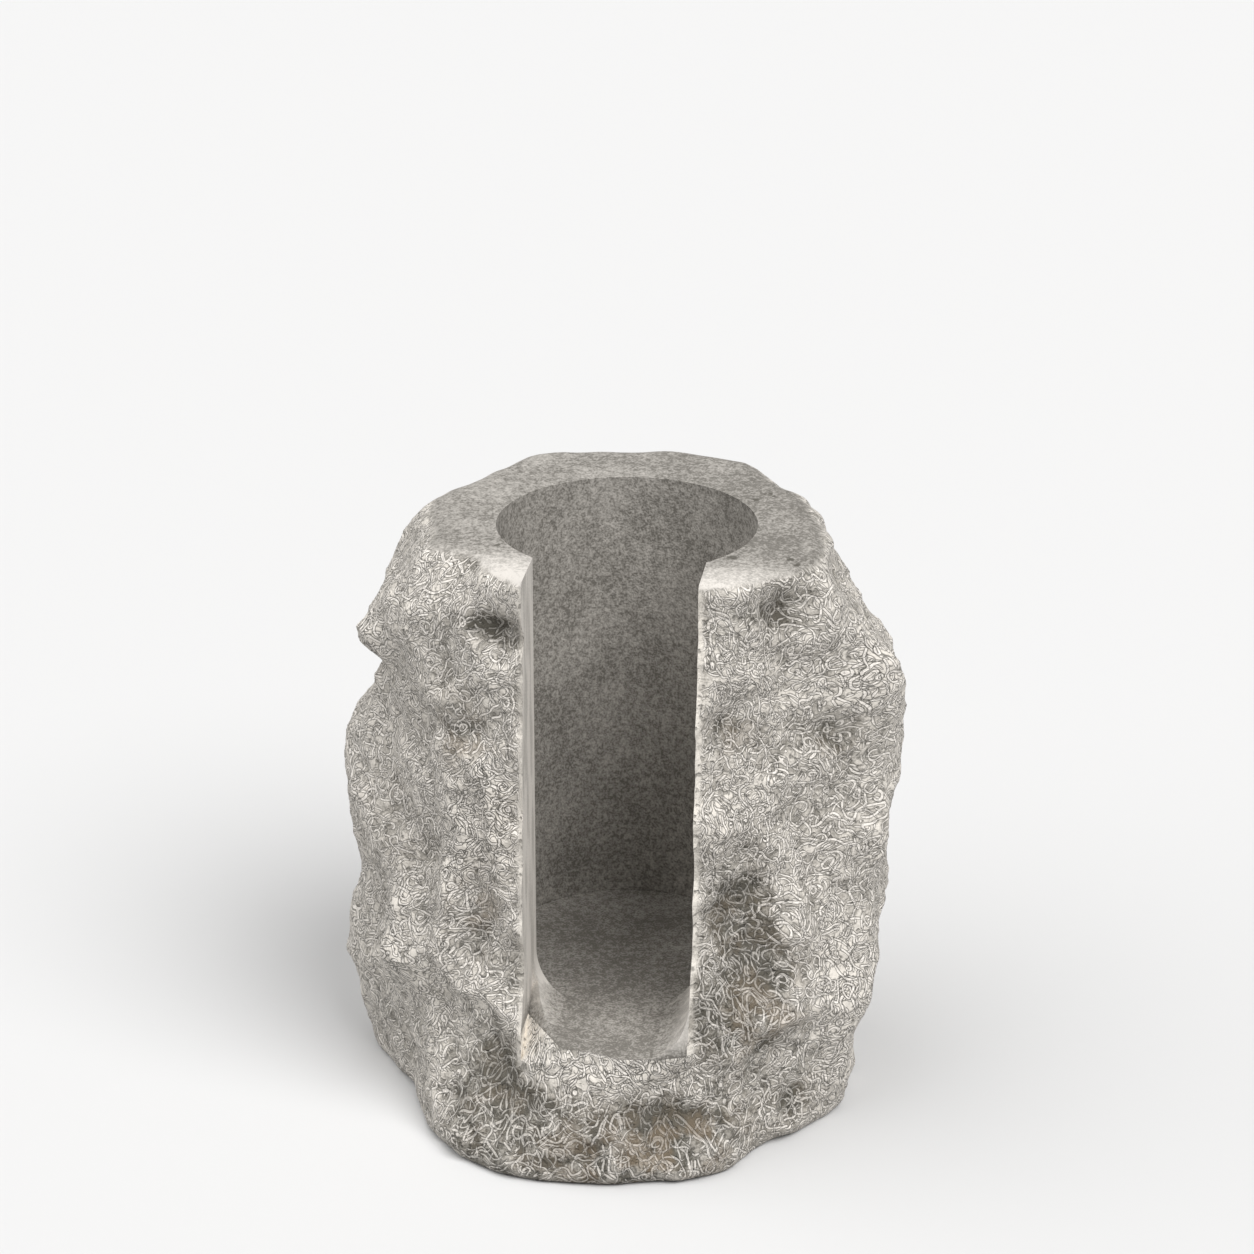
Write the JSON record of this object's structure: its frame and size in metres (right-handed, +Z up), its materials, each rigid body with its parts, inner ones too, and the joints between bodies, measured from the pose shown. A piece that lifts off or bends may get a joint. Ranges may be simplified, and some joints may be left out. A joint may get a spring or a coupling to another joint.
{
  "type": "wine bottle holder",
  "caption": "Wine bottle holder cut from a block of natural stone, with split sides, a honed top, a bored well for the bottle and a front slot that shows it.",
  "frame": {"origin": "middle of the base, on the axis of the well", "axes": "+Z up along the well, out of its mouth; the slot opens toward -Y; +X to the right of a viewer who faces the slot"},
  "size_m": [0.1838, 0.1757, 0.19],
  "materials": {
    "stone": "split natural faces on the sides, honed top, sawn slot and base"
  },
  "bodies": {
    "root": {"stone_block": "stone"}
  },
  "joints": []
}
